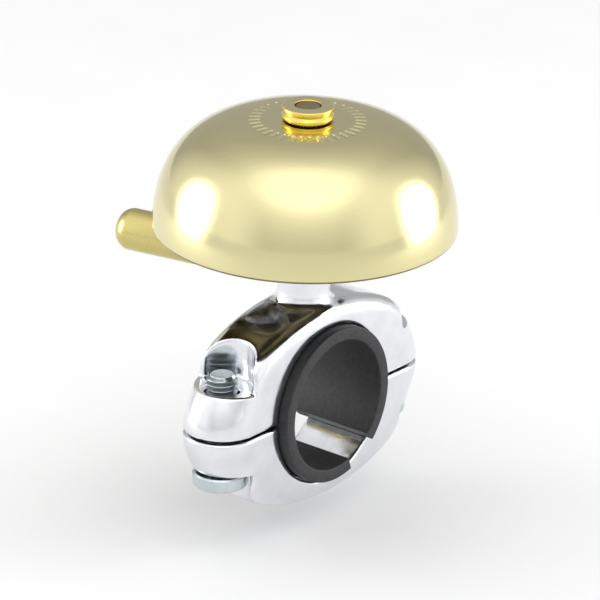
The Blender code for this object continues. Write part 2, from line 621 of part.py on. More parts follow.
def make_knob():
    radius = KNOB_DIAMETER / 2
    end = KNOB_END_RADIUS
    tip = arc((radius - end, KNOB_OUTER_END - end), end, 90, 0, 6)
    profile = [(0, KNOB_OUTER_END), *tip, (radius, KNOB_INNER_END + 0.4 * MM),
               (radius - 0.4 * MM, KNOB_INNER_END), (0, KNOB_INNER_END)]
    knob = turned("thumb_knob", profile, GOLD_BRASS, steps=32)
    hang(knob, lever_pivot, (0, 0, ARM_HEIGHT), (0, radians(90), 0))
    half_tail = TAIL_WIDTH / 2 + GAP
    slot = box("knob_slot", (KNOB_INNER_END - 1 * MM, -half_tail, ARM_BOTTOM - GAP),
               (KNOB_INNER_END + KNOB_SLOT_DEPTH, half_tail, ARM_TOP + GAP))
    boolean(knob, hang(slot, lever_pivot))
    pin_x = KNOB_INNER_END + KNOB_SLOT_DEPTH / 2
    pin_half = radius - 0.25 * MM
    hole = cylinder("knob_pin_hole", KNOB_PIN_DIAMETER / 2 + GAP, ARM_HEIGHT - 2 * radius,
                    ARM_HEIGHT + 2 * radius, steps=SMALL_STEPS)
    boolean(knob, hang(hole, lever_pivot, (pin_x, 0, 0)))
    profile = rod_profile(KNOB_PIN_DIAMETER / 2, ARM_HEIGHT - pin_half, ARM_HEIGHT + pin_half, 0.2 * MM)
    hang(turned("knob_pin", profile, STEEL, steps=SMALL_STEPS), lever_pivot, (pin_x, 0, 0))


def make_hammer(rivet_y):
    """The bent leaf, its slug and the rivet between them, on the side away from the stop."""
    half = LEAF_THICKNESS / 2
    bend = 1.2 * MM
    stand = LEAF_STAND_OFF
    level = LEAF_BEND_HEIGHT
    tab_end = ARM_INNER_RADIUS + 0.3 * MM
    outer_bend = arc((stand - bend, level + bend), bend + half, -90, 0, 5)
    inner_bend = arc((stand - bend, level + bend), bend - half, 0, -90, 5)
    side_view = [(tab_end, level - half), *outer_bend, (stand + half, LEAF_TOP), (stand - half, LEAF_TOP),
                 *inner_bend, (tab_end, level + half)]
    leaf = flat_plate("hammer_leaf", side_view, -LEAF_WIDTH / 2, LEAF_WIDTH / 2, SPRING_STEEL)
    # the side view's X, Y, Z become outward (-Y), up and across of the mechanism's frame
    leaf.data.transform(Matrix(((0, 0, 1, 0), (-1, 0, 0, 0), (0, 1, 0, 0), (0, 0, 0, 1))))
    leaf.data.flip_normals()
    hang(leaf, lever_pivot)
    small = SMALL_PIN_DIAMETER / 2
    for number, side in ((1, -1), (2, 1)):
        hole = cylinder(f"leaf_hole_{number}", small + GAP, level - 2 * MM, level + 2 * MM,
                        steps=SMALL_STEPS)
        boolean(leaf, hang(hole, lever_pivot, (side * LEAF_RIVET_SPACING / 2, rivet_y, 0)))
    hole = cylinder("leaf_hammer_hole", small + GAP, stand - 2 * MM, stand + 2 * MM, steps=SMALL_STEPS)
    boolean(leaf, hang(hole, lever_pivot, (0, 0, HAMMER_HEIGHT), (radians(90), 0, 0)))

    radius = HAMMER_DIAMETER / 2
    wall = dome_radius(HAMMER_HEIGHT) - DOME_WALL
    face = wall - HAMMER_CLEARANCE
    back = stand + half + GAP
    bore_end = face - 2.2 * MM
    crown = [(radius * sin(radians(90) * i / 6),
              face - HAMMER_FACE_RISE * (1 - cos(radians(90) * i / 6))) for i in range(7)]
    profile = [*crown, (radius, back + 0.3 * MM), (radius - 0.3 * MM, back), (small + GAP, back),
               (small + GAP, bore_end), (0, bore_end)]
    outward = (radians(90), 0, 0)
    hang(turned("hammer", profile, BRASS, steps=28), hammer_bend, (0, 0, HAMMER_HEIGHT), outward)
    head_back = stand - half - GAP - SMALL_HEAD_HEIGHT
    rivet = headed_pin("hammer_rivet", small, SMALL_HEAD_DIAMETER / 2, SMALL_HEAD_HEIGHT,
                       -(bore_end - GAP), -head_back, STEEL)
    hang(rivet, hammer_bend, (0, 0, HAMMER_HEIGHT), (radians(-90), 0, 0))


make_clamp()
make_bolts()
make_shim()
make_dome()
make_axis_stack()
make_base_plate()
make_pivot()
make_return_spring()
leaf_rivet_line = make_lever()
make_knob()
make_hammer(leaf_rivet_line)
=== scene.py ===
# %% [markdown]
# # A brass bicycle bell on its handlebar clamp
# The bell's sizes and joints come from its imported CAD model, which is loaded first and never moved.
# Around it this lesson builds what a camera would see: the spun brass dome, the grooved nut, the polished
# aluminium clamp with its threaded bolts, the rubber shim, and the striking mechanism under the dome.
# Every length below is in metres, written as millimetres times MM.

# %% Load the frame
import json
from math import asin, atan2, cos, degrees, hypot, pi, radians, sin

import bpy
from mathutils import Matrix, Vector


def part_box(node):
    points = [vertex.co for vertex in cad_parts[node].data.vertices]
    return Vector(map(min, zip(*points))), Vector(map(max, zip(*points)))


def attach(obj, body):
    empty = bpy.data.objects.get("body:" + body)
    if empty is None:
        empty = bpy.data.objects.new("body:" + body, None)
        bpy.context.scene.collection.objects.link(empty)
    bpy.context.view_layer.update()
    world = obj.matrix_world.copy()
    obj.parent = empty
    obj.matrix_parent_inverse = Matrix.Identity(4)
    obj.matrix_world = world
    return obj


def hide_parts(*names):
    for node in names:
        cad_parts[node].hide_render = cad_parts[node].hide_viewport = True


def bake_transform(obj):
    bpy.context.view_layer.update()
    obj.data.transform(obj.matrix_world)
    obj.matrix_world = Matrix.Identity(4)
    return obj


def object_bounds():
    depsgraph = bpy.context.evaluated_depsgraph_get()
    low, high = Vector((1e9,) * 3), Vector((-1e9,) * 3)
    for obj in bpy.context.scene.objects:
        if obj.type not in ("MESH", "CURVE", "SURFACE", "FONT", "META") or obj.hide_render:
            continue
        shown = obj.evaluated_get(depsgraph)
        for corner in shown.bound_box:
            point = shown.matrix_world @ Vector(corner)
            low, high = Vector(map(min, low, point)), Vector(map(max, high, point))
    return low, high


MM = 0.001
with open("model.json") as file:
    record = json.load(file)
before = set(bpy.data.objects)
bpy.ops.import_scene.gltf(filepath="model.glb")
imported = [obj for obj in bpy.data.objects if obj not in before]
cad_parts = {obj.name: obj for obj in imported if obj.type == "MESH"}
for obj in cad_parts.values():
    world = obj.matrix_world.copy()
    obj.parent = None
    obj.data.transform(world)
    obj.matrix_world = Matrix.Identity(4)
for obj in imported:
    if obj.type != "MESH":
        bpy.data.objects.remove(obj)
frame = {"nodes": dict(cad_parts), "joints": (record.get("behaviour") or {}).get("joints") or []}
cad_low, cad_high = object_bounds()
print("CAD box", [round(v / MM, 1) for v in (*cad_low, *cad_high)])

# %% [markdown]
# ## The camera
# A small object is photographed from far away with a long lens, so that its shape isn't stretched.
# The camera stands a little above the bell, turned to look between the clamp's open side and one of its
# lugs. Its matrix is written from three directions: right, up and back.

# %% Camera
TURN, LIFT, ROLL = radians(38.577), radians(22.5), radians(1.442)
DISTANCE = 1241.772 * MM
LENS = 388.56                     # millimetres of focal length on a 36 mm sensor
AIM_HEIGHT, AIM_SHIFT = 19.253 * MM, -0.604 * MM

view_back = Vector((sin(TURN) * cos(LIFT), -cos(TURN) * cos(LIFT), sin(LIFT)))
level_right = Vector((cos(TURN), sin(TURN), 0))
level_up = view_back.cross(level_right)
view_right = cos(ROLL) * level_right + sin(ROLL) * level_up
view_up = cos(ROLL) * level_up - sin(ROLL) * level_right
stand = Vector((0, 0, AIM_HEIGHT)) + level_right * AIM_SHIFT + view_back * DISTANCE

camera = bpy.data.objects.new("camera", bpy.data.cameras.new("camera"))
bpy.context.scene.collection.objects.link(camera)
camera.data.lens = LENS
camera.data.sensor_width = 36
camera.data.clip_start = 0.05
camera.data.clip_end = 20
axes = Matrix((view_right, view_up, view_back)).transposed().to_4x4()
camera.matrix_world = Matrix.Translation(stand) @ axes
bpy.context.scene.camera = camera
print("camera stands at", [round(v, 3) for v in stand])

# %% [markdown]
# ## The studio
# Polished metal has hardly a colour of its own: it shows the room. So the room is designed first. The sky
# is brightest in one direction, high up on the camera's side, and falls to grey all round it. That is what
# shades the dome from grey-green on its crown to cream on its shoulder. Two wide glows are added: one for
# a lit wall behind the camera, and one for the walls at the sides. A tall softbox on each side, fading
# out towards its edges, gives the two white highlights.

# %% Sky and softboxes
scene = bpy.context.scene
scene.view_settings.view_transform = "Standard"

world = bpy.data.worlds.new("studio_sky")
world.use_nodes = True
scene.world = world
sky = world.node_tree
front = Vector((view_back.x, view_back.y, 0)).normalized()
BRIGHT_HEIGHT = radians(74)
bright_side = front * cos(BRIGHT_HEIGHT) + Vector((0, 0, sin(BRIGHT_HEIGHT)))
direction = sky.nodes.new("ShaderNodeTexCoord")
toward = sky.nodes.new("ShaderNodeVectorMath")
toward.operation = "DOT_PRODUCT"
toward.inputs[1].default_value = bright_side
shade = sky.nodes.new("ShaderNodeValToRGB")
shade.color_ramp.interpolation = "EASE"
BRIGHTEST = 1.7                   # a ramp's colours stop at 1, so they are shares of this strength
# Each stop is a place, from 0 away from the bright direction to 1 towards it, and the sky's brightness
# there. The first two are the ramp's own ends, and the rest are added between them.
stops = ((0.0, 0.44), (1.0, 1.66),
         (0.535, 0.48), (0.655, 0.53), (0.735, 0.62), (0.80, 0.74),
         (0.85, 0.88), (0.895, 1.08), (0.93, 1.36), (0.965, 1.62))
for number, (place, value) in enumerate(stops):
    stop = shade.color_ramp.elements[number] if number < 2 else shade.color_ramp.elements.new(place)
    stop.position = place
    stop.color = (*[value / BRIGHTEST] * 3, 1)
sky.nodes["Background"].inputs["Strength"].default_value = BRIGHTEST
spread = sky.nodes.new("ShaderNodeMath")
spread.operation = "MULTIPLY_ADD"
spread.inputs[1].default_value = 0.5
spread.inputs[2].default_value = 0.5
sky.links.new(direction.outputs["Generated"], toward.inputs[0])
sky.links.new(toward.outputs["Value"], spread.inputs[0])
sky.links.new(spread.outputs[0], shade.inputs[0])
sky.links.new(shade.outputs[0], sky.nodes["Background"].inputs["Color"])


def glow(axis, begins, full, strength, both_ways=False):
    """A smooth glow round one direction of the sky, or both ways. `begins` and `full` are cosines."""
    facing = sky.nodes.new("ShaderNodeVectorMath")
    facing.operation = "DOT_PRODUCT"
    facing.inputs[1].default_value = axis
    sky.links.new(direction.outputs["Generated"], facing.inputs[0])
    closeness = facing.outputs["Value"]
    if both_ways:
        either = sky.nodes.new("ShaderNodeMath")
        either.operation = "ABSOLUTE"
        sky.links.new(closeness, either.inputs[0])
        closeness = either.outputs[0]
    ramp = sky.nodes.new("ShaderNodeMapRange")
    ramp.interpolation_type = "SMOOTHSTEP"
    ramp.inputs["From Min"].default_value = begins
    ramp.inputs["From Max"].default_value = full
    ramp.inputs["To Max"].default_value = strength
    sky.links.new(closeness, ramp.inputs["Value"])
    return ramp.outputs[0]


wall_light = glow(front, 0.2, 1.0, 0.34)
side_light = glow((-front.y, front.x, 0), 0.45, 0.95, 0.75, both_ways=True)
total = sky.nodes.new("ShaderNodeMath")
glows = sky.nodes.new("ShaderNodeBackground")
both = sky.nodes.new("ShaderNodeAddShader")
sky.links.new(side_light, total.inputs[0])
sky.links.new(wall_light, total.inputs[1])
sky.links.new(total.outputs[0], glows.inputs["Strength"])
sky.links.new(sky.nodes["Background"].outputs[0], both.inputs[0])
sky.links.new(glows.outputs[0], both.inputs[1])
sky.links.new(both.outputs[0], sky.nodes["World Output"].inputs["Surface"])


def softbox(name, bearing, height, width, tall, strength, reach=0.38):
    """A softbox at a bearing from the camera's, and at a height, both in degrees. Its edges fade out."""
    around = atan2(view_back.y, view_back.x) + radians(bearing)
    lift = radians(height)
    out = Vector((cos(around) * cos(lift), sin(around) * cos(lift), sin(lift)))
    lamp = bpy.data.lights.new(name, "AREA")
    lamp.shape = "RECTANGLE"
    lamp.size, lamp.size_y = width, tall
    lamp.energy = strength * pi * width * tall
    lamp.use_nodes = True
    tree = lamp.node_tree
    place = tree.nodes.new("ShaderNodeNewGeometry")
    middle = tree.nodes.new("ShaderNodeVectorMath")
    middle.operation = "DISTANCE"
    middle.inputs[1].default_value = (0.5, 0.5, 0)
    fade = tree.nodes.new("ShaderNodeMapRange")
    fade.interpolation_type = "SMOOTHERSTEP"
    fade.inputs["From Min"].default_value = 0.5
    fade.inputs["From Max"].default_value = 0.10
    tree.links.new(place.outputs["Parametric"], middle.inputs[0])
    tree.links.new(middle.outputs["Value"], fade.inputs["Value"])
    tree.links.new(fade.outputs[0], tree.nodes["Emission"].inputs["Strength"])
    holder = bpy.data.objects.new(name, lamp)
    scene.collection.objects.link(holder)
    holder.location = out * reach + Vector((0, 0, LAMP_AIM))
    holder.rotation_euler = out.to_track_quat("Z", "Y").to_euler()
    print(name, "stands", round(reach * 1000), "mm away")


LAMP_AIM = 30 * MM                # both softboxes face a point at this height on the bell's axis
softbox("softbox_left", -93, 9, 0.36, 0.46, 3.4)
softbox("softbox_right", 97, 8, 0.38, 0.48, 3.4)

# %% [markdown]
# ## The floor
# A wide pale floor fills the view from above and lights the bell from below. It lies a little lower than
# the clamp's lower half comes when it is taken off. It is a stage, not a part of the bell.

# %% Floor
joints = {joint["name"]: joint for joint in frame["joints"]}
CAP_TRAVEL = joints["clamp_cap_slide"]["range_m"][1]
FLOOR_GAP = 0.5 * MM
print("the floor leaves", round(CAP_TRAVEL / MM, 1), "mm for the clamp's lower half to come down")
bpy.ops.object.select_all(action="DESELECT")
bpy.ops.mesh.primitive_plane_add(size=6, location=(0, 0, cad_low.z - CAP_TRAVEL - FLOOR_GAP))
floor = bpy.context.object
floor.name = "studio_floor"
bpy.ops.object.transform_apply(location=True)
paper = bpy.data.materials.new("floor_paper")
paper.use_nodes = True
nodes, links = paper.node_tree.nodes, paper.node_tree.links
fibre = nodes.new("ShaderNodeTexNoise")
fibre.inputs["Scale"].default_value = 40
tone = nodes.new("ShaderNodeValToRGB")
tone.color_ramp.elements[0].color = (0.77, 0.77, 0.77, 1)
tone.color_ramp.elements[1].color = (0.80, 0.80, 0.80, 1)
where = nodes.new("ShaderNodeTexCoord")
links.new(where.outputs["Object"], fibre.inputs["Vector"])
links.new(fibre.outputs["Fac"], tone.inputs[0])
links.new(tone.outputs[0], nodes["Principled BSDF"].inputs["Base Color"])
nodes["Principled BSDF"].inputs["Roughness"].default_value = 0.9
floor.data.materials.append(paper)

# %% [markdown]
# ## Metal finishes
# All the pieces share one recipe, the rubber too. A coarse noise shifts the colour a little. A fine one
# shifts the roughness and tilts the surface by a hair (bump), because real polish is never perfect. Only
# the numbers differ. With `rings`, the tilt follows the fine turning lines that a lathe or a spinning tool
# leaves round the Z axis instead.

# %% A recipe for the finishes


def finish(name, colour, second, rough, grain, bump, metallic=1.0, rings=0.0, smudge=60.0):
    """A procedural finish: colour drifts from one tone to a second, rough is (low, high)."""
    made = bpy.data.materials.new(name)
    made.use_nodes = True
    made.diffuse_color = (*colour, 1)
    tree = made.node_tree
    shader = tree.nodes["Principled BSDF"]
    shader.inputs["Metallic"].default_value = metallic
    spot = tree.nodes.new("ShaderNodeTexCoord")

    cloud = tree.nodes.new("ShaderNodeTexNoise")
    cloud.inputs["Scale"].default_value = smudge
    cloud.inputs["Detail"].default_value = 4
    tree.links.new(spot.outputs["Object"], cloud.inputs["Vector"])
    tint = tree.nodes.new("ShaderNodeValToRGB")
    tint.color_ramp.elements[0].position = 0.3
    tint.color_ramp.elements[0].color = (*colour, 1)
    tint.color_ramp.elements[1].position = 0.75
    tint.color_ramp.elements[1].color = (*second, 1)
    tree.links.new(cloud.outputs["Fac"], tint.inputs[0])
    tree.links.new(tint.outputs[0], shader.inputs["Base Color"])

    speck = tree.nodes.new("ShaderNodeTexNoise")
    speck.inputs["Scale"].default_value = grain
    speck.inputs["Detail"].default_value = 5
    tree.links.new(spot.outputs["Object"], speck.inputs["Vector"])
    dull = tree.nodes.new("ShaderNodeMapRange")
    dull.inputs["From Min"].default_value = 0.3
    dull.inputs["From Max"].default_value = 0.7
    dull.inputs["To Min"].default_value = rough[0]
    dull.inputs["To Max"].default_value = rough[1]
    tree.links.new(speck.outputs["Fac"], dull.inputs["Value"])
    tree.links.new(dull.outputs[0], shader.inputs["Roughness"])

    height = speck.outputs["Fac"]
    if rings:
        split = tree.nodes.new("ShaderNodeSeparateXYZ")
        flat = tree.nodes.new("ShaderNodeCombineXYZ")
        reach = tree.nodes.new("ShaderNodeVectorMath")
        reach.operation = "LENGTH"
        line = tree.nodes.new("ShaderNodeCombineXYZ")
        lathe_marks = tree.nodes.new("ShaderNodeTexNoise")
        lathe_marks.inputs["Scale"].default_value = rings
        lathe_marks.inputs["Detail"].default_value = 3
        tree.links.new(spot.outputs["Object"], split.inputs[0])
        tree.links.new(split.outputs["X"], flat.inputs["X"])
        tree.links.new(split.outputs["Y"], flat.inputs["Y"])
        tree.links.new(flat.outputs[0], reach.inputs[0])
        tree.links.new(reach.outputs["Value"], line.inputs["X"])
        tree.links.new(split.outputs["Z"], line.inputs["Z"])
        tree.links.new(line.outputs[0], lathe_marks.inputs["Vector"])
        height = lathe_marks.outputs["Fac"]
    tilt = tree.nodes.new("ShaderNodeBump")
    tilt.inputs["Strength"].default_value = bump
    tilt.inputs["Distance"].default_value = 0.05 * MM
    tree.links.new(height, tilt.inputs["Height"])
    tree.links.new(tilt.outputs[0], shader.inputs["Normal"])
    return made


DOME_BRASS = finish("polished_dome_brass", (0.71, 0.645, 0.355), (0.74, 0.675, 0.385),
                    (0.10, 0.16), 900, 0.05, rings=2200, smudge=45)
# The inside's finish is rougher, which is real dullness, and far darker, which is painted shade under the
# dome.
INSIDE_BRASS = finish("dull_inside_brass_painted_shade", (0.20, 0.16, 0.07), (0.27, 0.22, 0.10),
                      (0.22, 0.34), 900, 0.06, rings=2000, smudge=80)
NUT_BRASS = finish("turned_nut_brass", (0.80, 0.60, 0.10), (0.86, 0.68, 0.20),
                   (0.14, 0.26), 1500, 0.10, rings=4000, smudge=300)
KNOB_BRASS = finish("satin_knob_brass", (0.55, 0.47, 0.17), (0.63, 0.55, 0.23),
                    (0.20, 0.30), 2500, 0.12, smudge=120)
HAMMER_BRASS = finish("hammer_brass", (0.72, 0.58, 0.26), (0.66, 0.52, 0.22),
                      (0.2, 0.34), 2000, 0.15, smudge=200)
CAST_ALUMINIUM = finish("polished_cast_aluminium", (0.73, 0.745, 0.785), (0.83, 0.84, 0.86),
                        (0.08, 0.20), 420, 0.16, smudge=260)
ZINC = finish("bright_zinc", (0.50, 0.575, 0.60), (0.62, 0.68, 0.69), (0.16, 0.30), 1800, 0.12, smudge=400)
# Painted shade: a darker zinc for the thread's root, where the grooves lie in shade.
THREAD_ROOT_SHADE = finish("thread_root_painted_shade", (0.24, 0.27, 0.28), (0.34, 0.37, 0.37), (0.30, 0.45), 1500, 0.1,
                smudge=700)
PLAIN_STEEL = finish("plain_steel", (0.52, 0.52, 0.53), (0.60, 0.60, 0.60), (0.28, 0.42), 1600, 0.18,
                     smudge=180)
BROWNED_STEEL = finish("browned_steel", (0.17, 0.14, 0.08), (0.25, 0.21, 0.12), (0.22, 0.36), 1400, 0.15,
                       smudge=180)
# The stud's dark brown is painted shade of its hole in the nut.
STUD_STEEL = finish("stud_steel_painted_shade", (0.24, 0.19, 0.11), (0.34, 0.28, 0.17), (0.26, 0.42), 1500, 0.2,
                    smudge=500)
SPRING_STEEL = finish("oiled_spring_steel", (0.30, 0.30, 0.33), (0.38, 0.37, 0.38), (0.2, 0.34), 1400,
                      0.12, smudge=250)
RUBBER = finish("matte_black_rubber", (0.012, 0.012, 0.013), (0.024, 0.024, 0.026), (0.50, 0.66), 3500,
                0.5, metallic=0.0, smudge=900)
print("made", len(bpy.data.materials), "materials")

# %% [markdown]
# ## Helpers for turned pieces
# Most of this bell comes off a lathe. To make such a piece by hand in Blender, draw half of its section as
# a line of points beside the axis, and spin that line round. `draw_line` extrudes one vertex from point to
# point. `lathe` spins the line in `steps`, merges the doubled seam and turns the normals outwards. A ring
# that isn't spun all the way round has its two open ends filled.

# %% Lathe


def rest_selection():
    """Leave edit mode and deselect everything, so that the next operator acts on one piece only."""
    if bpy.context.object and bpy.context.object.mode != "OBJECT":
        bpy.ops.object.mode_set(mode="OBJECT")
    bpy.ops.object.select_all(action="DESELECT")


def own(piece):
    """Select one piece and make it the active one."""
    rest_selection()
    piece.select_set(True)
    bpy.context.view_layer.objects.active = piece


def settle(piece, material, smooth=35):
    """Put the piece's place into its mesh, smooth it and give it its material."""
    own(piece)
    bpy.ops.object.transform_apply(location=True, rotation=True, scale=True)
    bpy.ops.object.shade_smooth_by_angle(angle=radians(smooth))
    piece.data.materials.clear()
    piece.data.materials.append(material)
    return piece


def draw_line(name, points):
    """A new piece with one line through (radius, height) points, left in edit mode."""
    rest_selection()
    radius, height = points[0]
    bpy.ops.mesh.primitive_plane_add(size=MM, location=(radius, 0, height))
    piece = bpy.context.object
    piece.name = name
    piece.data.name = name
    bpy.ops.object.mode_set(mode="EDIT")
    bpy.ops.mesh.select_all(action="SELECT")
    bpy.ops.mesh.merge(type="CENTER")
    for (r0, h0), (r1, h1) in zip(points, points[1:]):
        bpy.ops.mesh.extrude_region_move(TRANSFORM_OT_translate={"value": (r1 - r0, 0, h1 - h0)})
    return piece


def lathe(name, profile, steps=96, closed=False, sweep=2 * pi):
    """Spin a line of (radius, height) points about the Z axis, all the way round or by a sweep."""
    piece = draw_line(name, [*profile, profile[0]] if closed else profile)
    bpy.ops.mesh.select_all(action="SELECT")
    bpy.ops.mesh.spin(steps=steps, angle=sweep, center=(0, 0, 0), axis=(0, 0, 1))
    bpy.ops.mesh.select_all(action="SELECT")
    bpy.ops.mesh.remove_doubles(threshold=0.004 * MM)
    if sweep < 2 * pi:
        bpy.ops.mesh.fill_holes(sides=0)
        bpy.ops.mesh.select_all(action="SELECT")
    bpy.ops.mesh.normals_make_consistent(inside=False)
    bpy.ops.object.mode_set(mode="OBJECT")
    bpy.ops.object.transform_apply(location=True)
    return piece


def bow(centre, radius, start, end, count):
    """Points on an arc, for rounding a corner of a profile. Angles are in degrees."""
    turns = [radians(start + (end - start) * i / count) for i in range(count + 1)]
    return [(centre[0] + radius * cos(t), centre[1] + radius * sin(t)) for t in turns]


# %% [markdown]
# ## The dome
# The real dome is spun from sheet brass. Its outer line is a superellipse: a nearly upright wall, a tight
# shoulder and a gently rounded crown. The section is that line, a rounded lip at the rim, the inner line
# one wall's thickness inside, and the stud's hole. A plain ring of stamped ticks decorates the crown:
# three of every eight columns of points are pushed in a little, between two radii. The inside is left
# dull, so its faces get a rougher finish, and a darker brass that is painted shade under the dome.

# %% Dome
dome_low, dome_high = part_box("bell_dome")
DOME_RADIUS = dome_high.x
RIM, CROWN = dome_low.z, dome_high.z
WALL = 1.5 * MM
SIDE_POWER, CROWN_POWER = 3.6, 2.2
stud_low, stud_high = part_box("dome_stud")
STUD_RADIUS = stud_high.x
HOLE = STUD_RADIUS + 0.3 * MM


def dome_line(radius, top, rows, extra=()):
    """The dome's line from the stud's hole out to the rim, for the outer or the inner wall."""
    first = asin((HOLE / radius) ** (SIDE_POWER / 2))
    turns = [first + (pi / 2 - first) * i / rows for i in range(rows + 1)]
    turns += [asin((r / radius) ** (SIDE_POWER / 2)) for r in extra]
    return [(radius * sin(t) ** (2 / SIDE_POWER), RIM + (top - RIM) * cos(t) ** (2 / CROWN_POWER))
            for t in sorted(turns)]


COLUMNS = 288                     # points round the dome
TICK_EVERY, TICK_WIDE = 8, 3      # counted in columns
TICK_FROM, TICK_TO, TICK_DEPTH = 9.1 * MM, 11.3 * MM, 0.16 * MM
TICK_SLOPE = 0.12 * MM
HAIR = 0.02 * MM                  # too little to see
tick_rows = [TICK_FROM - TICK_SLOPE, TICK_FROM, (TICK_FROM + TICK_TO) / 2, TICK_TO, TICK_TO + TICK_SLOPE]
outer = dome_line(DOME_RADIUS, CROWN, 72, tick_rows)
inner = dome_line(DOME_RADIUS - WALL, CROWN - WALL, 60)
lip_middle = (DOME_RADIUS - WALL / 2, RIM + WALL / 2)
lip = bow(lip_middle, WALL / 2, 0, -180, 14)
lip_top = RIM + WALL / 2 + 0.1 * MM
outer = [p for p in outer if p[1] > lip_top]
inner = [p for p in inner if p[1] > lip_top]
dome = lathe("brass_dome", outer + lip + list(reversed(inner)), steps=COLUMNS, closed=True)
for point in dome.data.vertices:
    reach = hypot(point.co.x, point.co.y)
    column = round(atan2(point.co.y, point.co.x) / (2 * pi) * COLUMNS) % COLUMNS
    in_ring = TICK_FROM - HAIR < reach < TICK_TO + HAIR and point.co.z > CROWN - WALL
    if in_ring and column % TICK_EVERY < TICK_WIDE:
        point.co.z -= TICK_DEPTH
settle(dome, DOME_BRASS, smooth=40)
dome.data.materials.append(INSIDE_BRASS)
# Faces under the dome or facing inwards get the darker brass: painted shade.
inside_top = CROWN - 1.2 * MM
for face in dome.data.polygons:
    reach = hypot(face.center.x, face.center.y)
    inwards = face.normal.x * face.center.x + face.normal.y * face.center.y < -0.02 * reach
    if face.normal.z < -0.12 or (inwards and face.center.z < inside_top):
        face.material_index = 1
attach(dome, "frame")
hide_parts("bell_dome")
print("dome", len(dome.data.polygons), "faces")

# %% [markdown]
# ## Nut and stud
# The nut is turned from yellower brass: a flat top as pale as the dome, with a bevelled edge, a sharp
# groove round its middle and a slightly fuller foot. The end of the steel stud shows in its hole, painted
# dark brown as the painted shade of that hole.

# %% Nut and stud
nut_low, nut_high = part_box("dome_nut")
nut_radius = nut_high.x
nut_base, nut_top = nut_low.z, nut_high.z
nut_tall = nut_top - nut_base
groove = nut_base + nut_tall / 2
thread_hole = STUD_RADIUS + 0.06 * MM
NUT_SINK = 0.12 * MM
nut_profile = [(thread_hole + NUT_SINK, nut_top), (nut_radius - 0.35 * MM, nut_top)]
nut_profile += bow((nut_radius - 0.35 * MM, nut_top - 0.3 * MM), 0.3 * MM, 75, 15, 5)
nut_profile += [(nut_radius - 0.1 * MM, nut_top - 0.75 * MM), (nut_radius - 0.42 * MM, groove + 0.16 * MM),
                (nut_radius - 0.5 * MM, groove), (nut_radius - 0.38 * MM, groove - 0.16 * MM)]
nut_profile += bow((nut_radius - 0.45 * MM, nut_base + 0.55 * MM), 0.45 * MM, 35, -50, 6)
nut_profile += [(nut_radius - 0.3 * MM, nut_base), (thread_hole, nut_base),
                (thread_hole, nut_top - NUT_SINK)]
nut = settle(lathe("grooved_nut", nut_profile, steps=128, closed=True), NUT_BRASS, smooth=30)
nut.data.materials.append(DOME_BRASS)
for face in nut.data.polygons:
    if face.normal.z > 0.95 and face.center.z > nut_top - 0.1 * MM:
        face.material_index = 1
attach(nut, "frame")
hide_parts("dome_nut")

stud_top = stud_high.z - 0.12 * MM
stud_profile = [(0, stud_top), (STUD_RADIUS - 0.35 * MM, stud_top),
                (STUD_RADIUS - 0.1 * MM, stud_high.z - 0.3 * MM), (STUD_RADIUS, stud_high.z - 0.6 * MM),
                (STUD_RADIUS, stud_low.z + 0.4 * MM), (STUD_RADIUS - 0.4 * MM, stud_low.z),
                (0, stud_low.z)]
stud = settle(lathe("steel_stud", stud_profile, steps=64), STUD_STEEL)
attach(stud, "frame")
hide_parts("dome_stud")
print("nut and stud made")

# %% [markdown]
# ## The cast clamp
# The clamp is one oval ring in two halves, cast in aluminium and polished bright. Its edges are rounded by
# 3 mm along the top and bottom, and the rounding grows until the lugs' ends are fully round. No single
# bevel does that, so a cylinder is squashed to the oval, subdivided into rings, and each ring's points are
# slid along the rounding by a formula. Booleans then cut the split, the bore and the bolt pockets. Last, a
# fine voxel remesh and a short smoothing melt every cut edge a little, as casting and polishing do.

# %% Clamp: sizes from the frame
upper_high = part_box("clamp_upper")[1]
lower_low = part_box("clamp_lower")[0]
bolt_low, bolt_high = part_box("clamp_bolt_1")
shim_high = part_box("bar_shim")[1]
HALF_WIDTH, HALF_SPAN = upper_high.x, upper_high.y
HALF_HEIGHT = -lower_low.z
BOLT_REACH = abs(bolt_low.y + bolt_high.y) / 2
HEAD_RADIUS = bolt_high.x
BORE = shim_high.y + 0.3 * MM
EDGE = 3.0 * MM
POCKET = HEAD_RADIUS + 0.75 * MM
TOP_FLOOR, BOTTOM_FLOOR = 8.5 * MM, -8.1 * MM       # the heights of the pockets' floors
print("clamp is", round(2 * HALF_SPAN / MM, 1), "mm across, bore", round(2 * BORE / MM, 1))

# %% Clamp: the oval blank
LUG_UNTIL, TOP_FROM = 22, 52      # degrees round the oval from a lug's end, where the rounding changes


def edge_rounding(turn):
    """How far the edge is rounded at a place round the oval, from the lug's end to the top."""
    from_lug = degrees(asin(min(abs(sin(turn)), 1)))
    share = min(max((from_lug - LUG_UNTIL) / (TOP_FROM - LUG_UNTIL), 0), 1)
    return HALF_WIDTH + (EDGE - HALF_WIDTH) * share * share * (3 - 2 * share)


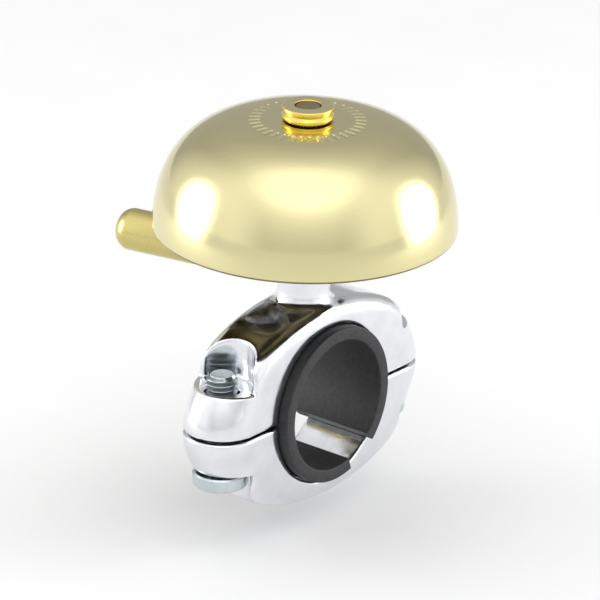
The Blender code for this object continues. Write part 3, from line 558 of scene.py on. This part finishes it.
def clamp_blank(name):
    """An oval drum whose rings are slid along the clamp's edge rounding."""
    rest_selection()
    bpy.ops.mesh.primitive_cylinder_add(vertices=200, radius=1, depth=2, rotation=(0, pi / 2, 0))
    piece = bpy.context.object
    piece.name = name
    piece.data.name = name
    bpy.ops.object.transform_apply(rotation=True)
    bpy.ops.object.mode_set(mode="EDIT")
    bpy.ops.mesh.select_all(action="DESELECT")
    bpy.ops.mesh.select_mode(type="EDGE")
    bpy.ops.object.mode_set(mode="OBJECT")
    for edge in piece.data.edges:
        first, second = (piece.data.vertices[i].co for i in edge.vertices)
        edge.select = abs(first.x - second.x) > 1
    bpy.ops.object.mode_set(mode="EDIT")
    bpy.ops.mesh.subdivide(number_cuts=27)
    bpy.ops.mesh.select_mode(type="VERT")
    bpy.ops.object.mode_set(mode="OBJECT")
    for point in piece.data.vertices:
        turn = atan2(point.co.z, point.co.y)
        y, z = HALF_SPAN * cos(turn), HALF_HEIGHT * sin(turn)
        out = Vector((0, cos(turn) / HALF_SPAN, sin(turn) / HALF_HEIGHT)).normalized()
        rounding = edge_rounding(turn)
        flat = HALF_WIDTH - rounding
        along = abs(point.co.x) * (flat + rounding * pi / 2)
        bend = max(along - flat, 0) / rounding
        x = min(along, flat) + rounding * sin(bend)
        inset = rounding * (1 - cos(bend))
        side = 1 if point.co.x > 0 else -1
        point.co = Vector((side * x, y, z)) - out * inset
    return piece


def combine(piece, tool, operation="DIFFERENCE"):
    """Apply a Boolean with another object and remove that object."""
    own(piece)
    bpy.ops.object.modifier_add(type="BOOLEAN")
    step = piece.modifiers[-1]
    step.object, step.operation, step.solver = tool, operation, "EXACT"
    bpy.ops.object.modifier_apply(modifier=step.name)
    bpy.data.objects.remove(tool, do_unlink=True)


SLIGHT_TURN = (0, 0, 0.021)


def drum(radius, deep, middle, turn=SLIGHT_TURN, sides=160, top_radius=None):
    """A cutting cylinder or cone, turned a hair so that no edge of it lies on an edge of the piece."""
    rest_selection()
    bpy.ops.mesh.primitive_cone_add(vertices=sides, radius1=radius, radius2=top_radius or radius,
                                    depth=deep, location=middle, rotation=turn)
    bpy.ops.object.transform_apply(location=True, rotation=True)
    return bpy.context.object


def block(low, high):
    """A cutting box between two corners."""
    low, high = Vector(low), Vector(high)
    rest_selection()
    bpy.ops.mesh.primitive_cube_add(size=1, location=(low + high) / 2)
    bpy.context.object.dimensions = high - low
    bpy.ops.object.transform_apply(location=True, rotation=True, scale=True)
    return bpy.context.object


# %% [markdown]
# ## Cutting the two halves
# Both halves start from the same blank, and a gap is left between them. Each pocket is a round cut that
# opens out past the end of its lug, with a small countersink round the bolt's hole. The upper half also
# gets the post, whose foot flares into the clamp.

# %% Clamp: halves
FAR = 44 * MM
VOXEL = 0.27 * MM
SPLIT = 0.3 * MM                  # half of the gap between the two halves
BOLT_HOLE = 3.3 * MM
SINK_NARROW, SINK_WIDE, SINK_TALL = 3.0 * MM, 4.1 * MM, 1.1 * MM     # the countersink's cone
SINK_DOWN = 0.4 * MM              # from the pocket's floor to the cone's middle
MOUTH_ANGLE = radians(15)         # where the pocket's straight sides leave its round wall


def cut_pockets(piece, floor_height, up):
    """Spot-face both lugs of one half, down to a floor, and drill and countersink the holes."""
    mouth = BOLT_REACH - POCKET * sin(MOUTH_ANGLE)
    low_z, high_z = sorted((floor_height - up * HAIR, floor_height + up * (FAR - 3 * MM)))
    foot, top = (SINK_NARROW, SINK_WIDE) if up > 0 else (SINK_WIDE, SINK_NARROW)
    for side in (-1, 1):
        bolt_y = side * BOLT_REACH
        combine(piece, drum(BOLT_HOLE, FAR, (0, bolt_y, 0), sides=73))
        combine(piece, drum(POCKET, FAR, (0, bolt_y, floor_height + up * FAR / 2)))
        near, far = sorted((side * mouth, side * FAR))
        combine(piece, block((-FAR / 2, near, low_z), (FAR / 2, far, high_z)))
        combine(piece, drum(foot, SINK_TALL, (0, bolt_y, floor_height - up * SINK_DOWN),
                            sides=72, top_radius=top))


def melt_edges(piece, rounds):
    """Remesh finely and smooth, so that every edge becomes a small polished radius."""
    own(piece)
    bpy.ops.object.modifier_add(type="REMESH")
    step = piece.modifiers[-1]
    step.mode, step.voxel_size = "VOXEL", VOXEL
    bpy.ops.object.modifier_apply(modifier=step.name)
    bpy.ops.object.modifier_add(type="SMOOTH")
    step = piece.modifiers[-1]
    step.factor, step.iterations = 0.5, rounds
    bpy.ops.object.modifier_apply(modifier=step.name)


upper = clamp_blank("clamp_top_half")
POST_RADIUS, POST_FLARE, POST_CHAMFER = 5.1 * MM, 3.2 * MM, 0.3 * MM
post_foot = bow((POST_RADIUS + POST_FLARE, HALF_HEIGHT + 2.2 * MM), POST_FLARE, 180, 243, 14)
post_root = HALF_HEIGHT - 2.6 * MM
post_profile = [(0, upper_high.z), (POST_RADIUS - POST_CHAMFER, upper_high.z),
                (POST_RADIUS, upper_high.z - POST_CHAMFER), *post_foot,
                (7.15 * MM, HALF_HEIGHT - 1.7 * MM), (6.9 * MM, post_root), (0, post_root)]
STUD_BORE = 16.5 * MM             # length of the drum that bores the post for the stud, half above its top
combine(upper, block((-FAR, -FAR, -FAR), (FAR, FAR, SPLIT)))
combine(upper, drum(BORE, 4 * HALF_WIDTH, (0, 0, 0), (0, pi / 2, 0), sides=211))
cut_pockets(upper, TOP_FLOOR, 1)
combine(upper, lathe("post", post_profile, steps=96), "UNION")
combine(upper, drum(HOLE, STUD_BORE, (0, 0, upper_high.z), sides=48))
melt_edges(upper, 16)
settle(upper, CAST_ALUMINIUM, smooth=80)
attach(upper, "frame")
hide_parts("clamp_upper")
print("upper half", len(upper.data.polygons), "faces")

lower = clamp_blank("clamp_bottom_half")
combine(lower, block((-FAR, -FAR, -SPLIT), (FAR, FAR, FAR)))
combine(lower, drum(BORE, 4 * HALF_WIDTH, (0, 0, 0), (0, pi / 2, 0), sides=211))
cut_pockets(lower, BOTTOM_FLOOR, -1)
melt_edges(lower, 10)
settle(lower, CAST_ALUMINIUM, smooth=80)
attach(lower, "clamp_cap")
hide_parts("clamp_lower")
print("lower half", len(lower.data.polygons), "faces")

# %% [markdown]
# ## The clamp bolts
# Each bolt is zinc-plated steel with a coarse thread, whose last turns stand above the pocket's floor. One
# tooth of the thread is drawn as a short line and swept up a helix by the Screw modifier. The ends are cut
# square, the tip is tapered, and the plain shank and the head with its hexagon socket are joined on. The
# thread's root faces get a darker finish, painted shade in the thread's grooves. The second bolt is a copy,
# turned on its axis.

# %% Bolts
SHANK = 3.0 * MM
PITCH = 1.0 * MM
THREAD_DEPTH = 0.66 * MM
THREAD_FROM = 4.5 * MM
SOCKET_RADIUS, SOCKET_DEPTH = 2.31 * MM, 1.8 * MM
tip = bolt_high.z


def threaded_rod(name, crest, root, low, high):
    """A closed threaded rod between two heights."""
    tooth = [(crest, 0.0), (crest, 0.12), (root, 0.52), (root, 0.62), (crest, 1.0)]
    start = low - 1.5 * PITCH
    rod = draw_line(name, [(radius, start + turns * PITCH) for radius, turns in tooth])
    bpy.ops.object.mode_set(mode="OBJECT")
    bpy.ops.object.transform_apply(location=True)
    bpy.ops.object.modifier_add(type="SCREW")
    sweep = rod.modifiers[-1]
    sweep.steps = sweep.render_steps = 56
    sweep.screw_offset = PITCH
    sweep.iterations = int((high - low) / PITCH) + 3
    bpy.ops.object.modifier_apply(modifier=sweep.name)
    bpy.ops.object.mode_set(mode="EDIT")
    bpy.ops.mesh.select_all(action="SELECT")
    bpy.ops.mesh.remove_doubles(threshold=0.002 * MM)
    for height, up in ((high, 1), (low, -1)):
        bpy.ops.mesh.select_all(action="SELECT")
        bpy.ops.mesh.bisect(plane_co=(0, 0, height), plane_no=(0, 0, up), use_fill=True, clear_outer=True,
                            threshold=0.0001 * MM)
    bpy.ops.mesh.select_all(action="SELECT")
    bpy.ops.mesh.remove_doubles(threshold=0.002 * MM)
    bpy.ops.mesh.normals_make_consistent(inside=False)
    bpy.ops.object.mode_set(mode="OBJECT")
    for point in rod.data.vertices:
        reach = hypot(point.co.x, point.co.y)
        limit = root - 0.15 * MM + (high - point.co.z) * 1.1
        if reach > limit:
            point.co.x *= limit / reach
            point.co.y *= limit / reach
    return rod


seat = BOTTOM_FLOOR - 0.3 * MM
head_foot = bolt_low.z
HEAD_ROUND = 1.1 * MM
plain_shank = SHANK - 0.05 * MM
head_side = bow((HEAD_RADIUS - HEAD_ROUND, head_foot + HEAD_ROUND), HEAD_ROUND, 0, -90, 8)
head_profile = [(0, THREAD_FROM + 0.2 * MM), (SHANK - 0.35 * MM, THREAD_FROM + 0.2 * MM),
                (plain_shank, THREAD_FROM - 0.2 * MM), (plain_shank, seat),
                (HEAD_RADIUS - 0.3 * MM, seat), (HEAD_RADIUS, seat - 0.3 * MM), *head_side, (0, head_foot)]
bolt = lathe("clamp_screw_1", head_profile, steps=96)
combine(bolt, threaded_rod("thread", SHANK, SHANK - THREAD_DEPTH, THREAD_FROM, tip), "UNION")
combine(bolt, drum(SOCKET_RADIUS, 2 * SOCKET_DEPTH, (0, 0, head_foot), sides=6))
twin_mesh = bolt.data.copy()
bolt.data.transform(Matrix.Translation((0, -BOLT_REACH, 0)))
twin_mesh.transform(Matrix.Translation((0, BOLT_REACH, 0)) @ Matrix.Rotation(radians(75), 4, "Z"))
twin = bpy.data.objects.new("clamp_screw_2", twin_mesh)
scene.collection.objects.link(twin)
for screw, node in ((bolt, "clamp_bolt_1"), (twin, "clamp_bolt_2")):
    settle(screw, ZINC, smooth=30)
    screw.data.materials.append(THREAD_ROOT_SHADE)
    # Faces in the thread's root get the darker zinc, painted shade in the grooves.
    for face in screw.data.polygons:
        reach = hypot(face.center.x, abs(face.center.y) - BOLT_REACH)
        if THREAD_FROM < face.center.z < tip - 0.3 * MM and reach < SHANK - 0.3 * MM:
            face.material_index = 1
    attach(screw, "clamp_cap")
    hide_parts(node)
print("bolt", len(bolt.data.polygons), "faces")

# %% [markdown]
# ## The rubber shim
# A split rubber ring fills the space between a thinner handlebar and the clamp. It is spun like the other
# round pieces, but not all the way, which leaves its slot. Then it is laid along the handlebar.

# %% Shim
SLOT_FROM, SLOT_TO = radians(-44), radians(-73)     # angles round the handlebar, from the +Y side
shim_inner, shim_outer = 13.0 * MM, shim_high.y
half = shim_high.x
corner = 0.35 * MM
shim_profile = (bow((shim_outer - corner, half - corner), corner, 90, 0, 4)
                + bow((shim_outer - corner, corner - half), corner, 0, -90, 4)
                + bow((shim_inner + corner, corner - half), corner, -90, -180, 4)
                + bow((shim_inner + corner, half - corner), corner, 180, 90, 4))
shim = lathe("rubber_shim", shim_profile, 168, closed=True, sweep=2 * pi - (SLOT_FROM - SLOT_TO))
lay = Matrix(((0, 0, 1, 0), (1, 0, 0, 0), (0, 1, 0, 0), (0, 0, 0, 1)))
shim.data.transform(lay @ Matrix.Rotation(SLOT_TO, 4, "Z"))
settle(shim, RUBBER, smooth=40)
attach(shim, "frame")
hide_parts("bar_shim")
print("shim", len(shim.data.polygons), "faces")

# %% [markdown]
# ## The lever's own frame
# The thumb knob points away from the bell's axis through the lever's pivot. The knob and the spring are
# drawn with that direction as their X, and `put` turns a finished piece into place.

# %% Lever frame
pivot = Vector(joints["lever_swing"]["pos_m"])
bearing = atan2(pivot.y, pivot.x)
PIVOT_REACH = hypot(pivot.x, pivot.y)
ARM_MID = pivot.z
mechanism = Matrix.Rotation(bearing, 4, "Z")


def put(piece, at=(0, 0, 0), turn=None):
    """Move a finished mesh to a place in the lever's frame."""
    own(piece)
    bpy.ops.object.transform_apply(location=True, rotation=True, scale=True)
    step = Matrix.Translation(at)
    if turn is not None:
        step = step @ turn
    piece.data.transform(mechanism @ step)
    return piece


# %% [markdown]
# ## The thumb knob
# A turned brass rod with a well-rounded end, finer and more satin than the dome. Its inner end is slotted
# for the arm's tail and cross-drilled for a pin.

# %% Knob
KNOB = 4.15 * MM
KNOB_FROM, KNOB_TO = 22.0 * MM, 40.2 * MM
TIP_ROUND, END_ROUND = 3.0 * MM, 0.5 * MM
TAIL_DEPTH, TAIL_HALF_WIDTH, TAIL_HALF_HEIGHT = 6.0 * MM, 2.3 * MM, 1.1 * MM    # slot for the arm's tail
PIN_IN, PIN_HOLE = 3.0 * MM, 1.3 * MM
knob_profile = [(0, KNOB_TO)]
knob_profile += bow((KNOB - TIP_ROUND, KNOB_TO - TIP_ROUND), TIP_ROUND, 90, 0, 16)
knob_profile += bow((KNOB - END_ROUND, KNOB_FROM + END_ROUND), END_ROUND, 0, -90, 5) + [(0, KNOB_FROM)]
knob = lathe("brass_thumb_knob", knob_profile, steps=128)
put(knob, (0, 0, ARM_MID), Matrix.Rotation(pi / 2, 4, "Y"))
slot_box = block((KNOB_FROM - MM, -TAIL_HALF_WIDTH, ARM_MID - TAIL_HALF_HEIGHT),
                 (KNOB_FROM + TAIL_DEPTH, TAIL_HALF_WIDTH, ARM_MID + TAIL_HALF_HEIGHT))
slot_box.data.transform(mechanism)
combine(knob, slot_box)
pin_hole = drum(PIN_HOLE, 3 * KNOB, (KNOB_FROM + PIN_IN, 0, ARM_MID), sides=40)
pin_hole.data.transform(mechanism)
combine(knob, pin_hole)
settle(knob, KNOB_BRASS, smooth=40)
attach(knob, "lever")
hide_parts("thumb_knob")
print("knob", len(knob.data.polygons), "faces")

# %% [markdown]
# ## The return spring
# A torsion spring of 2.5 turns sits round the pivot's bush. A small circle, the wire's section, is swept
# up a helix by the Screw modifier, its ends are filled, and each end is extruded into a straight leg. When
# the lever swings, the lower leg goes with it and the upper one stays.

# %% Return spring
spring_low, spring_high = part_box("return_spring")
WIRE = 0.4 * MM
COIL = 3.5 * MM
TURNS = 2.5
LEG = 6.5 * MM
COIL_FOOT = spring_low.z + WIRE
rise = spring_high.z - spring_low.z - 2 * WIRE
rest_selection()
bpy.ops.mesh.primitive_circle_add(vertices=14, radius=WIRE, fill_type="NOTHING", rotation=(pi / 2, 0, 0),
                                  location=(COIL, 0, COIL_FOOT))
spring = bpy.context.object
spring.name = "lever_return_spring"
bpy.ops.object.transform_apply(location=True, rotation=True)
bpy.ops.object.modifier_add(type="SCREW")
sweep = spring.modifiers[-1]
sweep.angle = TURNS * 2 * pi
sweep.steps = sweep.render_steps = 110
sweep.screw_offset = rise
bpy.ops.object.modifier_apply(modifier=sweep.name)
bpy.ops.object.mode_set(mode="EDIT")
bpy.ops.mesh.select_all(action="SELECT")
bpy.ops.mesh.fill_holes(sides=0)
bpy.ops.mesh.select_mode(type="FACE")
bpy.ops.mesh.select_all(action="DESELECT")
bpy.ops.object.mode_set(mode="OBJECT")
for end in (0, 1):
    for face in spring.data.polygons:
        face.select = len(face.vertices) > 4 and (face.center.z > COIL_FOOT + rise / 2) == bool(end)
    bpy.ops.object.mode_set(mode="EDIT")
    bpy.ops.mesh.extrude_region_move(TRANSFORM_OT_translate={"value": (0, -LEG, 0)})
    bpy.ops.mesh.select_all(action="DESELECT")
    bpy.ops.object.mode_set(mode="OBJECT")
bpy.ops.object.mode_set(mode="EDIT")
bpy.ops.mesh.select_mode(type="VERT")
bpy.ops.mesh.select_all(action="SELECT")
bpy.ops.mesh.remove_doubles(threshold=0.002 * MM)
bpy.ops.mesh.normals_make_consistent(inside=False)
bpy.ops.object.mode_set(mode="OBJECT")
put(spring, (PIVOT_REACH, 0, 0))
settle(spring, SPRING_STEEL, smooth=60)
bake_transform(spring)
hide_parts("return_spring")

# %% [markdown]
# ## The rest of the mechanism
# The plate, arm, leaf, rivets and washers are stamped or headed pieces whose CAD shapes are right but have
# razor edges. Each is copied, its loose triangles are merged into clean faces, and a small bevel rounds
# every edge, which is what lets metal catch the light.

# %% Softened pieces


def soften(node, name, material, bevel=0.12):
    """A copy of a CAD node with merged faces and small rounded edges."""
    rest_selection()
    piece = bpy.data.objects.new(name, frame["nodes"][node].data.copy())
    scene.collection.objects.link(piece)
    own(piece)
    bpy.ops.object.mode_set(mode="EDIT")
    bpy.ops.mesh.select_all(action="SELECT")
    bpy.ops.mesh.remove_doubles(threshold=0.002 * MM)
    bpy.ops.mesh.dissolve_limited(angle_limit=radians(1.5))
    bpy.ops.object.mode_set(mode="OBJECT")
    bpy.ops.object.modifier_add(type="BEVEL")
    step = piece.modifiers[-1]
    step.width, step.segments = bevel * MM, 3
    step.limit_method, step.angle_limit = "ANGLE", radians(40)
    bpy.ops.object.modifier_apply(modifier=step.name)
    settle(piece, material, smooth=35)
    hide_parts(node)
    return piece


SOFTENED = (
    ("base_plate", "mechanism_plate", BROWNED_STEEL, "plain_steel", "frame", 0.15),
    ("lock_washer", "plate_washer", PLAIN_STEEL, "plain_steel", "frame", 0.12),
    ("spacer_sleeve", "stud_sleeve", ZINC, "zinc_steel", "frame", 0.15),
    ("crown_washer", "soft_crown_washer", RUBBER, "black_rubber", "frame", 0.12),
    ("pivot_rivet", "lever_pivot_rivet", PLAIN_STEEL, "plain_steel", "frame", 0.12),
    ("pivot_bush", "brass_pivot_bush", NUT_BRASS, "turned_brass", "frame", 0.12),
    ("pivot_washer", "thin_pivot_washer", PLAIN_STEEL, "plain_steel", "frame", 0.1),
    ("spring_anchor_pin", "upper_spring_pin", PLAIN_STEEL, "plain_steel", "frame", 0.08),
    ("stop_pin", "lever_stop_pin", PLAIN_STEEL, "plain_steel", "frame", 0.08),
    ("stop_buffer", "rubber_stop_sleeve", RUBBER, "black_rubber", "frame", 0.2),
    ("lever_arm", "stamped_lever_arm", BROWNED_STEEL, "plain_steel", "lever", 0.2),
    ("spring_drive_pin", "lower_spring_pin", PLAIN_STEEL, "plain_steel", "lever", 0.08),
    ("knob_pin", "knob_cross_pin", PLAIN_STEEL, "plain_steel", "lever", 0.08),
    ("leaf_rivet_1", "leaf_fixing_rivet_1", PLAIN_STEEL, "plain_steel", "lever", 0.08),
    ("leaf_rivet_2", "leaf_fixing_rivet_2", PLAIN_STEEL, "plain_steel", "lever", 0.08),
    ("hammer", "brass_hammer", HAMMER_BRASS, "polished_brass", "striker", 0.12),
    ("hammer_rivet", "hammer_fixing_rivet", PLAIN_STEEL, "plain_steel", "striker", 0.08),
)
for node, name, material, slot_name, body, bevel in SOFTENED:
    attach(soften(node, name, material, bevel), body)
    print(name, "rides on", body)

# %% [markdown]
# ## The hammer's leaf
# The bent leaf spring carries the hammer. When the hammer is thrown outwards the strip bends just above
# its foot.

# %% Leaf
leaf = soften("hammer_leaf", "sprung_hammer_leaf", SPRING_STEEL, 0.1)
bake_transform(leaf)
